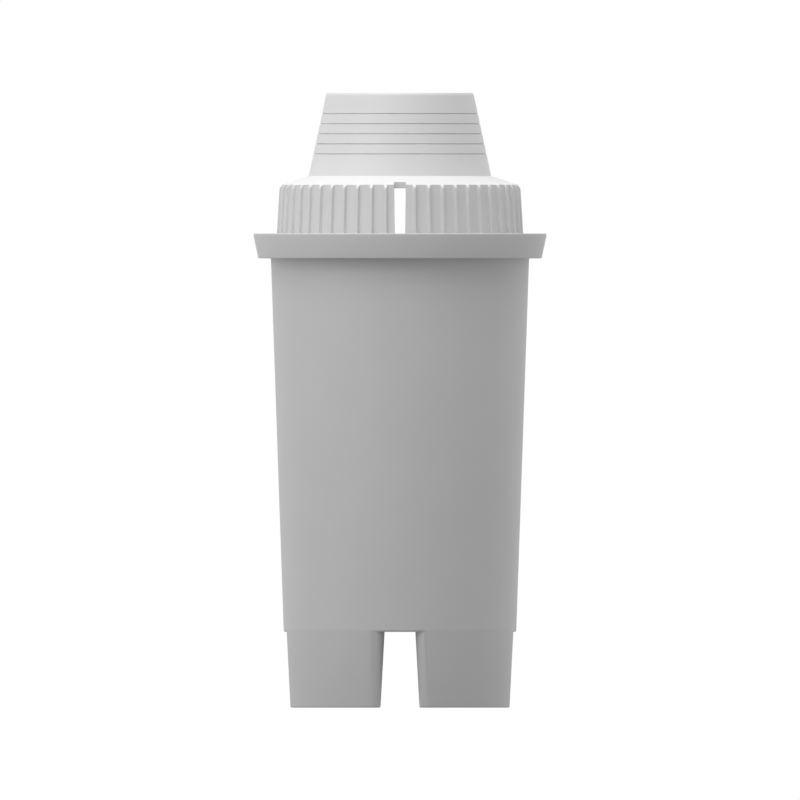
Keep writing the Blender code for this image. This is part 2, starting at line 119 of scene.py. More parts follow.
def rounded(corners, step=math.radians(14)):
    """A profile of (radius, height) from corners of (radius, height, rounding)."""
    profile = [Vector(corners[0][:2])]
    for before, corner, after in zip(corners, corners[1:], corners[2:]):
        point = Vector(corner[:2])
        back = (Vector(before[:2]) - point).normalized()
        on = (Vector(after[:2]) - point).normalized()
        turn = math.pi - back.angle(on)
        if not corner[2] or turn < math.radians(1):
            profile.append(point)
            continue
        run = corner[2] * math.tan(turn / 2)
        centre = point + (back + on).normalized() * (corner[2] / math.cos(turn / 2))
        start = point + back * run - centre
        sense = math.copysign(1, start.cross(point + on * run - centre))
        steps = max(2, round(turn / step))
        profile.append(point + back * (run + HOLD))
        for index in range(steps + 1):
            angle = sense * turn * index / steps
            profile.append(centre + Matrix.Rotation(angle, 2) @ start)
        profile.append(point + on * (run + HOLD))
    profile.append(Vector(corners[-1][:2]))
    return profile


print(len(rounded([(1, 0, 0), (1, 1, 0.1), (0.5, 1, 0)])), "rings round one square corner")

# %% Turn a profile into a shell


def deselect():
    if bpy.context.mode != "OBJECT":
        bpy.ops.object.mode_set(mode="OBJECT")
    bpy.ops.object.select_all(action="DESELECT")


def hold(piece):
    """Makes one piece the only selected and the active one."""
    deselect()
    piece.select_set(True)
    bpy.context.view_layer.objects.active = piece


def settle(name):
    """Names the shape that was just added and puts its place and size into its mesh."""
    piece = bpy.context.object
    piece.name = name
    bpy.ops.object.transform_apply(location=True, rotation=True, scale=True)
    return piece


def edit(piece):
    """Opens one piece in edit mode with nothing selected in it."""
    hold(piece)
    bpy.ops.object.mode_set(mode="EDIT")
    bpy.ops.mesh.select_all(action="DESELECT")


def upright(edge):
    return abs(edge.verts[0].co.z - edge.verts[1].co.z) > MM


def pick(piece, kind, test):
    """In edit mode, selects the faces or edges that pass a test, and returns how many there are."""
    bpy.ops.mesh.select_mode(type=kind)
    bpy.ops.mesh.select_all(action="DESELECT")
    mesh = bmesh.from_edit_mesh(piece.data)
    found = [part for part in (mesh.faces if kind == "FACE" else mesh.edges) if test(part)]
    for part in found:
        part.select_set(True)
    mesh.select_flush_mode()
    bmesh.update_edit_mesh(piece.data)
    return len(found)


def turn(name, profile, segments, ring=False):
    """Extrudes a circle from ring to ring. A ring-shaped piece is bridged shut, any other is capped."""
    deselect()
    radius, height = profile[0]
    bpy.ops.mesh.primitive_circle_add(vertices=segments, radius=radius, location=(0, 0, height))
    piece = settle(name)
    bpy.ops.object.mode_set(mode="EDIT")
    bpy.ops.mesh.select_all(action="SELECT")
    for here, there in zip(profile, profile[1:]):
        rise = {"value": (0, 0, there[1] - here[1])}
        bpy.ops.mesh.extrude_region_move(TRANSFORM_OT_translate=rise)
        grow = there[0] / here[0]
        bpy.ops.transform.resize(value=(grow, grow, 1), center_override=(0, 0, 0))
    bpy.ops.mesh.select_mode(type="EDGE")
    bpy.ops.mesh.select_all(action="DESELECT")
    bpy.ops.mesh.select_non_manifold()
    if ring:
        bpy.ops.mesh.bridge_edge_loops()
    else:
        bpy.ops.mesh.fill_holes(sides=0)
    bpy.ops.mesh.select_all(action="SELECT")
    bpy.ops.mesh.normals_make_consistent(inside=False)
    bpy.ops.object.mode_set(mode="OBJECT")
    return piece


print("turning helper ready")

# %% [markdown]
# ## The cup's wall and tray
#
# The grey cup is one moulding. Its wall is 1.5 mm thick and leans outwards. At the top it steps out into a
# flat ring, the tray, with an outer lip, so that water poured on the cartridge collects round the cap and
# flows in through the slots. The lip leans out by 12 degrees and ends in a short upright band.
#
# The wall, the tray and the inside are one profile: from the middle of the floor up the inside, over the
# lip and down the outside.

# %% Turn the cup
CUP_SEGMENTS = 256
TRAY_FOOT_RADIUS = 28.8 * MM
LIP = 1.2 * MM
LIP_BAND = 0.55 * MM
LIP_LEAN = 0.85 * MM

cup_corners = [
    (cavity_radius(FLOOR_TOP) * 0.5, FLOOR_TOP, 0),
    (cavity_radius(FLOOR_TOP), FLOOR_TOP, 0.8 * MM),
    (cavity_radius(TRAY_FLOOR), TRAY_FLOOR, 0.4 * MM),
    (TRAY_FOOT_RADIUS - LIP_LEAN, TRAY_FLOOR, 0.5 * MM),
    (TRAY_RADIUS - LIP, TRAY_TOP, 0.25 * MM),
    (TRAY_RADIUS, TRAY_TOP, 0.14 * MM),
    (TRAY_RADIUS, TRAY_TOP - LIP_BAND, 0),
    (TRAY_FOOT_RADIUS, TRAY_BOTTOM, 0.2 * MM),
    (cup_radius(TRAY_BOTTOM), TRAY_BOTTOM, 0.25 * MM),
    (cup_radius(FOOT_HEIGHT), FOOT_HEIGHT, 0.4 * MM),
    (cup_radius(FOOT_HEIGHT) * 0.5, FOOT_HEIGHT, 0),
]
cup = turn("cup_shell", rounded(cup_corners), CUP_SEGMENTS)
print("cup:", len(cup.data.vertices), "points")

# %% [markdown]
# ## The feet
#
# Under the floor stand four feet, parted by a cross-shaped channel that fits over a rib in the jug's funnel.
# Each foot carries the cup's outer face straight down. Its plan is a quarter disc with three rounded
# corners, and its side walls lean so that the channel is wider at the bottom.
#
# A foot could be cut from a full cylinder, but then its round corners and the rounded edge of the cup above
# would meet in slivers. It is easier to model one foot as a solid, round its bottom edge, copy it round the
# axis and join all four to the cup. The foot's outer face lies one thousandth of a millimetre inside the
# cup's, so that the join is clean.

# %% The plan of a foot at any height
CHANNEL_TOP = 3.12 * MM
CHANNEL_BOTTOM = 3.95 * MM
FOOT_CORNER = 1.93 * MM
FOOT_STEP = 2 * math.pi / CUP_SEGMENTS
SKIN = 0.001 * MM


def foot_plan(height, inset, corner):
    """Outline of the foot in the quarter between +X and +Y, drawn in from its faces by the inset."""
    half = CHANNEL_BOTTOM + (CHANNEL_TOP - CHANNEL_BOTTOM) * height / FOOT_HEIGHT + inset + corner
    outer = cup_radius(height) - max(inset, SKIN)
    reach = math.sqrt((outer - corner) ** 2 - half**2)
    edge = math.atan2(half, reach)
    plan = []

    def sweep(x, y, radius, start, end, steps):
        for index in range(steps + 1):
            angle = start + (end - start) * index / steps
            plan.append((x + radius * math.cos(angle), y + radius * math.sin(angle)))

    sweep(reach, half, corner, -math.pi / 2, edge, 10)
    first, last = math.ceil(edge / FOOT_STEP) + 1, math.floor((math.pi / 2 - edge) / FOOT_STEP) - 1
    sweep(0, 0, outer, first * FOOT_STEP, last * FOOT_STEP, last - first)
    sweep(half, reach, corner, math.pi / 2 - edge, math.pi, 10)
    sweep(half, half, corner, math.pi, 1.5 * math.pi, 6)
    return plan


print(len(foot_plan(0, 0, FOOT_CORNER)), "points round a foot")

# %% Raise a solid from a plan
OVERLAP = 1.0 * MM


def raise_plan(name, low, high, plan, top_plan=None):
    """Moves a disc's rim onto a plan and extrudes it. The top may get its own plan, point for point."""
    deselect()
    bpy.ops.mesh.primitive_circle_add(vertices=len(plan), radius=MM, fill_type="NGON")
    piece = settle(name)
    edit(piece)
    bpy.ops.mesh.select_all(action="SELECT")
    mesh = bmesh.from_edit_mesh(piece.data)
    for vertex, (x, y) in zip(list(mesh.faces[:][0].verts), plan):
        vertex.co = (x, y, low)
    bmesh.update_edit_mesh(piece.data)
    bpy.ops.mesh.extrude_region_move(TRANSFORM_OT_translate={"value": (0, 0, high - low)})
    mesh = bmesh.from_edit_mesh(piece.data)
    for vertex in [v for v in mesh.verts if v.select and top_plan]:
        nearest = min(range(len(plan)), key=lambda i: (Vector(plan[i]) - vertex.co.xy).length)
        vertex.co.xy = top_plan[nearest]
    bmesh.update_edit_mesh(piece.data)
    bpy.ops.mesh.select_all(action="SELECT")
    bpy.ops.mesh.normals_make_consistent(inside=False)
    bpy.ops.object.mode_set(mode="OBJECT")
    return piece


def raise_foot(name, low, high, inset, corner):
    return raise_plan(name, low, high, foot_plan(low, inset, corner), foot_plan(high, inset, corner))


foot = raise_foot("foot", 0.0, FOOT_HEIGHT + OVERLAP, 0, FOOT_CORNER)
edit(foot)
count = pick(foot, "EDGE", lambda edge: max(v.co.z for v in edge.verts) < 0.01 * MM)
bpy.ops.mesh.bevel(offset=0.3 * MM, segments=3)
bpy.ops.object.mode_set(mode="OBJECT")
print("rounded", count, "edges under the foot")

# %% Copy the foot round the axis


def copy_round(piece, count, first=0.0):
    """Copies a finished piece round Z, each copy with its own mesh, and joins the copies into one object."""
    copies = []
    for index in range(count):
        copy = bpy.data.objects.new(f"{piece.name}_{index + 1}", piece.data.copy())
        bpy.context.scene.collection.objects.link(copy)
        copy.data.transform(Matrix.Rotation(first + 2 * math.pi * index / count, 4, "Z"))
        copies.append(copy)
    bpy.data.objects.remove(piece)
    deselect()
    for copy in copies:
        copy.select_set(True)
    bpy.context.view_layer.objects.active = copies[0]
    bpy.ops.object.join()
    return copies[0]


def apply_modifier(piece, modifier):
    hold(piece)
    bpy.ops.object.modifier_apply(modifier=modifier.name)


def combine(piece, other, operation):
    """Joins another solid to a piece, or cuts it away. The other solid is used up."""
    boolean = piece.modifiers.new(other.name, "BOOLEAN")
    boolean.operation = operation
    boolean.object = other
    apply_modifier(piece, boolean)
    bpy.data.objects.remove(other)


combine(cup, copy_round(foot, 4), "UNION")
print("cup with feet:", len(cup.data.polygons), "faces")

# %% [markdown]
# ## The hollows and outlets of the feet
#
# Each foot is hollow, open to the cup above, and filtered water leaves through slots in its floor. The
# hollow is the foot's own plan drawn in by the wall thickness. A slot is a cube stretched to its length,
# with its four upright edges bevelled until the ends are round.

# %% Hollow the feet
FOOT_FLOOR = 1.5 * MM
FOOT_WALL = 1.6 * MM
POCKET_CORNER = 0.8 * MM

pocket = raise_foot("pocket", FOOT_FLOOR, FLOOR_TOP + OVERLAP, FOOT_WALL, POCKET_CORNER)
combine(cup, copy_round(pocket, 4), "DIFFERENCE")
print("hollowed:", len(cup.data.polygons), "faces")

# %% Cut the outlet slots
OUTLET_WIDTH = 1.4 * MM
OUTLET_PITCH = 3.3 * MM
OUTLETS = ((-1, 15.8 * MM, 6.5 * MM), (0, 14.6 * MM, 9.5 * MM), (1, 15.8 * MM, 6.5 * MM))
THROUGH = 4 * MM


def slot_cutter(name, centre, size, rounding, segments):
    """A block whose four upright edges are rounded."""
    deselect()
    bpy.ops.mesh.primitive_cube_add(size=1, location=centre, scale=size)
    cutter = settle(name)
    edit(cutter)
    pick(cutter, "EDGE", upright)
    bpy.ops.mesh.bevel(offset=rounding, segments=segments)
    bpy.ops.object.mode_set(mode="OBJECT")
    return cutter


for side, along, length in OUTLETS:
    size = (length, OUTLET_WIDTH, THROUGH)
    cutter = slot_cutter("outlet", (along, side * OUTLET_PITCH, 0), size, 0.48 * OUTLET_WIDTH, 6)
    combine(cup, copy_round(cutter, 4, first=math.pi / 4), "DIFFERENCE")
print("outlets cut:", len(cup.data.polygons), "faces")

# %% [markdown]
# ## The lugs of the closure
#
# A quarter turn closes the cap. Four lugs in the mouth of the cup and four on the cap's plug lie on one
# steep helix, like a very coarse thread. Each lug is a round bead that thins towards its ends, made as a
# curve with a round section and then turned into a mesh.

# %% Make a set of lugs
LUG_SWEEP = math.radians(60)
LUG_LEAD = 24 * MM
LUG_DROP = 1.55 * MM
LUG_START = 87.2 * MM
MOUTH_LUG_PATH = 24.55 * MM
PLUG_LUG_PATH = 23.6 * MM


def lugs(name, path_radius, start_height, points=17):
    """Four helical beads of 1.4 mm, joined in one object."""
    curve = bpy.data.curves.new(name, "CURVE")
    curve.dimensions = "3D"
    curve.bevel_depth = 0.7 * MM
    curve.bevel_resolution = 4
    curve.use_fill_caps = True
    spline = curve.splines.new("POLY")
    spline.points.add(points - 1)
    for index, point in enumerate(spline.points):
        part = index / (points - 1)
        angle = LUG_SWEEP * part
        height = start_height + LUG_LEAD * angle / (2 * math.pi)
        point.co = (path_radius * math.cos(angle), path_radius * math.sin(angle), height, 1)
        point.radius = min(1, 0.45 + 7 * min(part, 1 - part))
    bead = bpy.data.objects.new(name, curve)
    bpy.context.scene.collection.objects.link(bead)
    hold(bead)
    bpy.ops.object.convert(target="MESH")
    bead = bpy.context.object
    edit(bead)
    bpy.ops.mesh.select_all(action="SELECT")
    bpy.ops.mesh.remove_doubles(threshold=0.001 * MM)
    bpy.ops.mesh.normals_make_consistent(inside=False)
    bpy.ops.object.mode_set(mode="OBJECT")
    return copy_round(bead, 4)


combine(cup, lugs("mouth_lug", MOUTH_LUG_PATH, LUG_START), "UNION")
print("cup with lugs:", len(cup.data.polygons), "faces")

# %% [markdown]
# ## The cap
#
# The cap is a second moulding, in a whiter plastic. From the top down it is a cone to hold it by, with five
# fine ring grooves, a sloping shoulder, and a ribbed skirt. Under the skirt a plug reaches down into the
# cup. All of that is one profile again, and the grooves are part of it.
#
# The ribs divide the skirt into 52 equal pitches, so the cap is turned with a multiple of 52 segments. Every
# rib then sits alike on the facets.

# %% The cap's own measures
RIB_COUNT = 52
CAP_SEGMENTS = RIB_COUNT * 8
CAP_WALL = 1.25 * MM
CONE_TOP_RADIUS = 14.92 * MM
CONE_FOOT_RADIUS = 18.55 * MM
CONE_FOOT = 108.05 * MM
TOP_BAND = 0.45 * MM
SKIRT_RADIUS_AT_TRAY = 25.2 * MM
SKIRT_DRAFT = 0.0588
SHOULDER_SLOPE = 0.317
SHOULDER_WALL = 1.27 * MM
SHOULDER_CORNER = 1.3 * MM


def cone_radius(height):
    rise = (height - CONE_FOOT) / (HEIGHT - CONE_FOOT)
    return CONE_FOOT_RADIUS + rise * (CONE_TOP_RADIUS - CONE_FOOT_RADIUS)


def skirt_radius(height):
    return SKIRT_RADIUS_AT_TRAY - SKIRT_DRAFT * (height - TRAY_TOP)


def shoulder_height(radius):
    return CONE_FOOT - SHOULDER_SLOPE * (radius - CONE_FOOT_RADIUS)


fall = shoulder_height(SKIRT_RADIUS_AT_TRAY) - TRAY_TOP
meeting = TRAY_TOP + fall / (1 - SHOULDER_SLOPE * SKIRT_DRAFT)
print(f"shoulder and skirt would meet {meeting / MM:.2f} mm up")

# %% The grooves of the grip
LOWEST_GROOVE = 112.56 * MM
GROOVE_PITCH = 2.047 * MM
GROOVES = [LOWEST_GROOVE + index * GROOVE_PITCH for index in range(5)]
GROOVE_WIDTH = 0.22 * MM
GROOVE_DEPTH = 0.19 * MM
GROOVE_LEAN = 0.04 * MM


def groove(height):
    """Four corners of a narrow groove in the cone, from its upper edge to its lower edge."""
    top, bottom = height + GROOVE_WIDTH / 2, height - GROOVE_WIDTH / 2
    return [
        (cone_radius(top), top, 0),
        (cone_radius(top) - GROOVE_DEPTH, top - GROOVE_LEAN, 0),
        (cone_radius(bottom) - GROOVE_DEPTH, bottom + GROOVE_LEAN, 0),
        (cone_radius(bottom), bottom, 0),
    ]


grip = [corner for height in reversed(GROOVES) for corner in groove(height)]
print(len(GROOVES), "grooves,", len(grip), "corners")

# %% Turn the cap
PLUG_RADIUS = 23.5 * MM
PLUG_BORE = 22.3 * MM
PLUG_TOP = 94.8 * MM
SNAP_RADIUS = 22.85 * MM
SNAP_LOW, SNAP_HIGH = 88.2 * MM, 89.8 * MM
SKIRT_BOTTOM = TRAY_FLOOR + 0.3 * MM
SKIRT_HOLD = 93.7 * MM
CHAMBER_LOW, CHAMBER_HIGH = 96 * MM, 104.8 * MM
ceiling_edge = skirt_radius(meeting) - CAP_WALL - 0.6 * MM
cone_inside = CONE_FOOT_RADIUS - CAP_WALL

cap_corners = [
    (CONE_TOP_RADIUS * 0.5, HEIGHT, 0),
    (CONE_TOP_RADIUS - 0.1 * MM, HEIGHT, 0.12 * MM),
    (cone_radius(HEIGHT - TOP_BAND), HEIGHT - TOP_BAND, 0.3 * MM),
    *grip,
    (CONE_FOOT_RADIUS, CONE_FOOT, 0.15 * MM),
    (skirt_radius(meeting), meeting, SHOULDER_CORNER),
    (skirt_radius(SKIRT_HOLD), SKIRT_HOLD, 0),
    (skirt_radius(SKIRT_BOTTOM), SKIRT_BOTTOM, 0.2 * MM),
    (PLUG_RADIUS, SKIRT_BOTTOM, 0.2 * MM),
    (PLUG_RADIUS, CAP_BOTTOM, 0.45 * MM),
    (PLUG_BORE, CAP_BOTTOM, 0.25 * MM),
    (PLUG_BORE, SNAP_LOW, 0),
    (SNAP_RADIUS, SNAP_LOW, 0),
    (SNAP_RADIUS, SNAP_HIGH, 0),
    (PLUG_BORE, SNAP_HIGH, 0),
    (PLUG_BORE, PLUG_TOP, 0.3 * MM),
    (skirt_radius(CHAMBER_LOW) - CAP_WALL, CHAMBER_LOW, 0.3 * MM),
    (skirt_radius(meeting) - CAP_WALL, CHAMBER_HIGH, 0.2 * MM),
    (ceiling_edge, shoulder_height(ceiling_edge) - SHOULDER_WALL, 0.2 * MM),
    (cone_inside, shoulder_height(cone_inside) - SHOULDER_WALL, 0.4 * MM),
    (cone_radius(HEIGHT - CAP_WALL) - CAP_WALL, HEIGHT - CAP_WALL, 0.6 * MM),
    (CONE_TOP_RADIUS * 0.4, HEIGHT - CAP_WALL, 0),
]
cap = turn("cap_shell", rounded(cap_corners, step=math.radians(9)), CAP_SEGMENTS)
print("cap:", len(cap.data.vertices), "points")

# %% [markdown]
# ## The ribs
#
# A rib isn't added: the hollows between the ribs are cut, as the mould's maker would. The cutter for one
# hollow starts from its section across the skirt: a flat floor, a small fillet at the foot of the rib, the
# rib's side, and a flare that takes the corner off the rib. The section is raised into a bar that leans like
# the skirt. The bar is far taller than the skirt: because the shoulder rounds inwards, the hollow runs out
# by itself just below the shoulder. The bar is copied round and all copies cut at once.

# %% Cut the hollows between the ribs
RIB_WIDTH = 0.78 * MM
RIB_DEPTH = 0.66 * MM
RIB_DRAFT = 0.04 * MM
RIB_FILLET = 0.12 * MM
FLARE_LOW, FLARE_HIGH = -0.2 * MM, 0.1 * MM
FLARE_SLOPE = 0.8
FLARE_ROUNDING = 0.15 * MM
OUTWARDS = 1 * MM
PITCH = 2 * math.pi / RIB_COUNT
HOLLOW_LOW, HOLLOW_HIGH = 92.5 * MM, 108.5 * MM

floor_half = (PITCH * skirt_radius(TRAY_TOP + 5 * MM) - RIB_WIDTH) / 2
side_half = floor_half + RIB_DRAFT
flare_half = side_half + FLARE_SLOPE * (FLARE_HIGH - FLARE_LOW)
half_section = rounded([
    (-RIB_DEPTH, 0, 0),
    (-RIB_DEPTH, floor_half, RIB_FILLET),
    (FLARE_LOW, side_half, FLARE_ROUNDING),
    (FLARE_HIGH, flare_half, 0),
    (OUTWARDS, flare_half, 0),
])
section = half_section[1:] + [Vector((x, -y)) for x, y in reversed(half_section[1:])]
reach = (HOLLOW_HIGH - HOLLOW_LOW) / 2
hollow = raise_plan("hollow", -reach, reach, section)
middle = (HOLLOW_LOW + HOLLOW_HIGH) / 2
lean = Matrix.Rotation(-math.atan(SKIRT_DRAFT), 4, "Y")
place = Matrix.Translation((skirt_radius(middle), 0, middle))
hollow.data.transform(place @ lean)
combine(cap, copy_round(hollow, RIB_COUNT, first=PITCH / 2), "DIFFERENCE")
print(RIB_COUNT, "hollows cut:", len(cap.data.polygons), "faces")

# %% [markdown]
# ## The slots and the vent
#
# Four slots let water in. Each takes the place of a rib, cuts through the skirt and notches the edge of the
# shoulder. The cutter is a cube whose lower end is scaled in, because the slot narrows downwards. A small
# hole in the top of the cone lets air out.

# %% Cut the slots
SLOT_INNER = 22.3 * MM
SLOT_BOTTOM = 95.4 * MM
SLOT_LENGTH = 13 * MM
SLOT_WIDTH = 2.42 * MM
SLOT_DEPTH = 6 * MM
SLOT_TAPER = 0.84

deselect()
bpy.ops.mesh.primitive_cube_add(
    size=1,
    location=(SLOT_INNER + SLOT_DEPTH / 2, 0, SLOT_BOTTOM + SLOT_LENGTH / 2),
    scale=(SLOT_DEPTH, SLOT_WIDTH, SLOT_LENGTH),
)
slot = settle("slot")
edit(slot)
pick(slot, "FACE", lambda face: face.normal.z < -0.9)
bpy.ops.transform.resize(value=(1, SLOT_TAPER, 1), center_override=(0, 0, 0))
bpy.ops.object.mode_set(mode="OBJECT")
combine(cap, copy_round(slot, 4), "DIFFERENCE")
print("slotted:", len(cap.data.polygons), "faces")

# %% Drill the vent and add the plug's lugs
VENT_RADIUS = 1 * MM

deselect()
bpy.ops.mesh.primitive_cylinder_add(vertices=48, radius=VENT_RADIUS, depth=5 * MM, location=(0, 0, HEIGHT))
combine(cap, settle("vent"), "DIFFERENCE")
combine(cap, lugs("plug_lug", PLUG_LUG_PATH, LUG_START - LUG_DROP), "UNION")
print("cap:", len(cap.data.polygons), "faces")

# %% [markdown]
# ## Broken edges
#
# No moulding has knife edges. The flares have already eased the ribs, so what is left are the sharp upright
# corners on the skirt, such as those of the slots. They are bevelled by less than a tenth of a millimetre.
# It is done after the last cut, because a Boolean is surest on clean, simple faces.

# %% Break the sharp corners of the skirt
SHARP = math.radians(55)
SKIRT_INSIDE = 23.8 * MM
BROKEN_EDGE = 0.06 * MM


def sharp_corner(edge):
    """An outward corner of the skirt that runs more up than along."""
    if len(edge.link_faces) != 2 or edge.calc_face_angle_signed(0) < SHARP:
        return False
    along = (edge.verts[1].co - edge.verts[0].co).normalized()
    middle = (edge.verts[0].co + edge.verts[1].co) / 2
    on_skirt = SKIRT_BOTTOM < middle.z < CONE_FOOT and middle.xy.length > SKIRT_INSIDE
    return on_skirt and along.xy.length < 0.75


edit(cap)
broken = pick(cap, "EDGE", sharp_corner)
bpy.ops.mesh.bevel(offset=BROKEN_EDGE, segments=2)
bpy.ops.object.mode_set(mode="OBJECT")
print(broken, "edges broken")

# %% [markdown]
# ## Moulded plastic
#
# Both mouldings are satin polypropylene. A spark-eroded mould leaves a very fine grain, which softens the
# gloss, and the colour is never quite even. One helper makes the node tree: two noises on the piece's own
# coordinates, a coarse one that shifts the colour by a percent or two and a fine one for the grain.

# %% Make a moulded plastic


def material(name):
    made = bpy.data.materials.new(name)
    made.use_nodes = True
    return made, made.node_tree.nodes, made.node_tree.links, made.node_tree.nodes["Principled BSDF"]


def grain(nodes, links, scale, detail=3.0):
    """A noise on Object coordinates, in cycles to the metre."""
    place = nodes.new("ShaderNodeTexCoord")
    noise = nodes.new("ShaderNodeTexNoise")
    noise.inputs["Scale"].default_value = scale
    noise.inputs["Detail"].default_value = detail
    links.new(place.outputs["Object"], noise.inputs["Vector"])
    return noise


def spread(nodes, links, source, low, high):
    """Maps a grey texture onto a colour between two colours."""
    ramp = nodes.new("ShaderNodeValToRGB")
    ramp.color_ramp.elements[0].position = 0.3
    ramp.color_ramp.elements[1].position = 0.7
    ramp.color_ramp.elements[0].color = (*low, 1)
    ramp.color_ramp.elements[1].color = (*high, 1)
    links.new(source, ramp.inputs["Fac"])
    return ramp


def bumped(nodes, links, source, shader, strength, distance):
    bump = nodes.new("ShaderNodeBump")
    bump.inputs["Strength"].default_value = strength
    bump.inputs["Distance"].default_value = distance
    links.new(source, bump.inputs["Height"])
    links.new(bump.outputs["Normal"], shader.inputs["Normal"])


def moulded(name, grey, roughness, variation=0.012):
    made, nodes, links, shader = material(name)
    cloud = grain(nodes, links, 90)
    darker, paler = [grey * (1 - variation)] * 3, [grey * (1 + variation)] * 3
    tone = spread(nodes, links, cloud.outputs["Fac"], darker, paler)
    links.new(tone.outputs["Color"], shader.inputs["Base Color"])
    shader.inputs["Roughness"].default_value = roughness
    shader.inputs["IOR"].default_value = 1.49
    fine = grain(nodes, links, 2600, 2.0)
    bumped(nodes, links, fine.outputs["Fac"], shader, 0.12, 0.05 * MM)
    return made


def finish_piece(piece, body, slot_name, surface, *nodes_replaced):
    """Shades a piece, gives it its material, and ties it to the working model."""
    hold(piece)
    bpy.ops.object.shade_smooth_by_angle(angle=math.radians(32))
    piece.data.materials.clear()
    piece.data.materials.append(surface)
    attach(piece, body)
    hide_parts(*nodes_replaced)
    print(piece.name, len(piece.data.polygons), "faces, rides on", body)


cup_plastic = moulded("cup_plastic", 0.68, 0.42)
cap_plastic = moulded("cap_plastic", 0.76, 0.42)
finish_piece(cup, "housing", "cup_plastic", cup_plastic, "housing")
finish_piece(cap, "cap", "cap_plastic", cap_plastic, "cap")

# %% [markdown]
# ## The strainer
#
# The cap's plug carries a strainer on a snap ring, so that it rises with the cap but needn't turn with it.
# It is a short tube with a round bead outside, a flange below, spokes that meet in a hub, and four tabs
# that slide between the lugs of the mouth and hold it still.
#
# The tube is turned as a ring. Each bar of the spokes is a stretched cube with bevelled edges. A tab is a
# slice of a cylinder, cut free with three bisections.

# %% Turn the strainer's tube
STRAINER_BORE = 20.6 * MM
TUBE_RADIUS = 22.0 * MM
FLANGE_RADIUS = 23.4 * MM
FLANGE_TOP = 84.2 * MM
BEAD_RADIUS = 22.55 * MM
BEAD_LOW, BEAD_HIGH = 88.5 * MM, 89.5 * MM

tube_corners = [
    (STRAINER_BORE, 86.0 * MM, 0),
    (STRAINER_BORE, STRAINER_HIGH.z, 0.25 * MM),
    (TUBE_RADIUS, STRAINER_HIGH.z, 0.3 * MM),
    (TUBE_RADIUS, BEAD_HIGH, 0),
    (BEAD_RADIUS, BEAD_HIGH - 0.3 * MM, 0.15 * MM),
    (BEAD_RADIUS, BEAD_LOW + 0.3 * MM, 0.15 * MM),
    (TUBE_RADIUS, BEAD_LOW, 0),
    (TUBE_RADIUS, FLANGE_TOP, 0.3 * MM),
    (FLANGE_RADIUS, FLANGE_TOP, 0.2 * MM),
    (FLANGE_RADIUS, STRAINER_LOW.z, 0.3 * MM),
    (STRAINER_BORE, STRAINER_LOW.z, 0.25 * MM),
    (STRAINER_BORE, 85.2 * MM, 0),
]
strainer = turn("strainer_shell", rounded(tube_corners), CUP_SEGMENTS, ring=True)
print("strainer:", len(strainer.data.polygons), "faces")

# %% Add the spokes and the hub
SPOKE_WIDTH = 1.3 * MM
SPOKE_LOW, SPOKE_HIGH = 83.0 * MM, 84.4 * MM
HUB_RADIUS, HUB_DEPTH = 2.6 * MM, 1.8 * MM
spoke_middle = (SPOKE_LOW + SPOKE_HIGH) / 2


def box(name, centre, size, round_edges):
    """A block with its edges rounded."""
    deselect()
    bpy.ops.mesh.primitive_cube_add(size=1, location=centre, scale=size)
    piece = settle(name)
    edit(piece)
    bpy.ops.mesh.select_all(action="SELECT")
    bpy.ops.mesh.bevel(offset=round_edges, segments=3)
    bpy.ops.object.mode_set(mode="OBJECT")
    return piece


for turned_by in (0, 60, 120):
    bar_size = (2 * STRAINER_BORE + 1 * MM, SPOKE_WIDTH, SPOKE_HIGH - SPOKE_LOW)
    bar = box("bar", (0, 0, spoke_middle), bar_size, 0.25 * MM)
    bar.data.transform(Matrix.Rotation(math.radians(turned_by), 4, "Z"))
    combine(strainer, bar, "UNION")

deselect()
centre = (0, 0, spoke_middle)
bpy.ops.mesh.primitive_cylinder_add(vertices=64, radius=HUB_RADIUS, depth=HUB_DEPTH, location=centre)
hub = settle("hub")
edit(hub)
pick(hub, "EDGE", lambda edge: not upright(edge))
bpy.ops.mesh.bevel(offset=0.3 * MM, segments=3)
bpy.ops.object.mode_set(mode="OBJECT")
combine(strainer, hub, "UNION")
print("with spokes:", len(strainer.data.polygons), "faces")

# %% Add the four tabs
TAB_RADIUS = 24.1 * MM
TAB_HALF = math.radians(11)
TAB_ROOT = 22.7 * MM
TAB_PLACE = (0, 0, 83.5 * MM)
TAB_OUTER = 23.5 * MM


def tab_corner(edge):
    """An edge of the tab's outer end."""
    return min(v.co.xy.length for v in edge.verts) > TAB_OUTER and edge.calc_face_angle(0) > 1


deselect()
bpy.ops.mesh.primitive_cylinder_add(vertices=CUP_SEGMENTS, radius=TAB_RADIUS, depth=MM, location=TAB_PLACE)
tab = settle("tab")
edit(tab)
sides = [(math.sin(TAB_HALF), -math.cos(TAB_HALF), 0), (math.sin(TAB_HALF), math.cos(TAB_HALF), 0), (1, 0, 0)]
for plane, start in zip(sides, (0, 0, TAB_ROOT)):
    bpy.ops.mesh.select_all(action="SELECT")
    bpy.ops.mesh.bisect(plane_co=(start, 0, 0), plane_no=plane, use_fill=True, clear_inner=True)
count = pick(tab, "EDGE", tab_corner)
bpy.ops.mesh.bevel(offset=0.2 * MM, segments=3)
bpy.ops.object.mode_set(mode="OBJECT")
combine(strainer, copy_round(tab, 4, first=math.radians(75)), "UNION")
print("tabs: bevelled", count, "edges each")

# %% Finish the strainer
strainer_plastic = moulded("strainer_plastic", 0.7, 0.5)
finish_piece(strainer, "strainer", "strainer_plastic", strainer_plastic, "strainer_frame")

# %% [markdown]
# ## Woven gauze
#
# Two discs of gauze keep the granules in: one in the strainer, one above the floor. Gauze is plain weave,
# so each thread passes over one and under the next. The threads are splines of one curve with a round
# section, and a torus for the heat-sealed rim is joined to them.

# %% Weave a disc of gauze


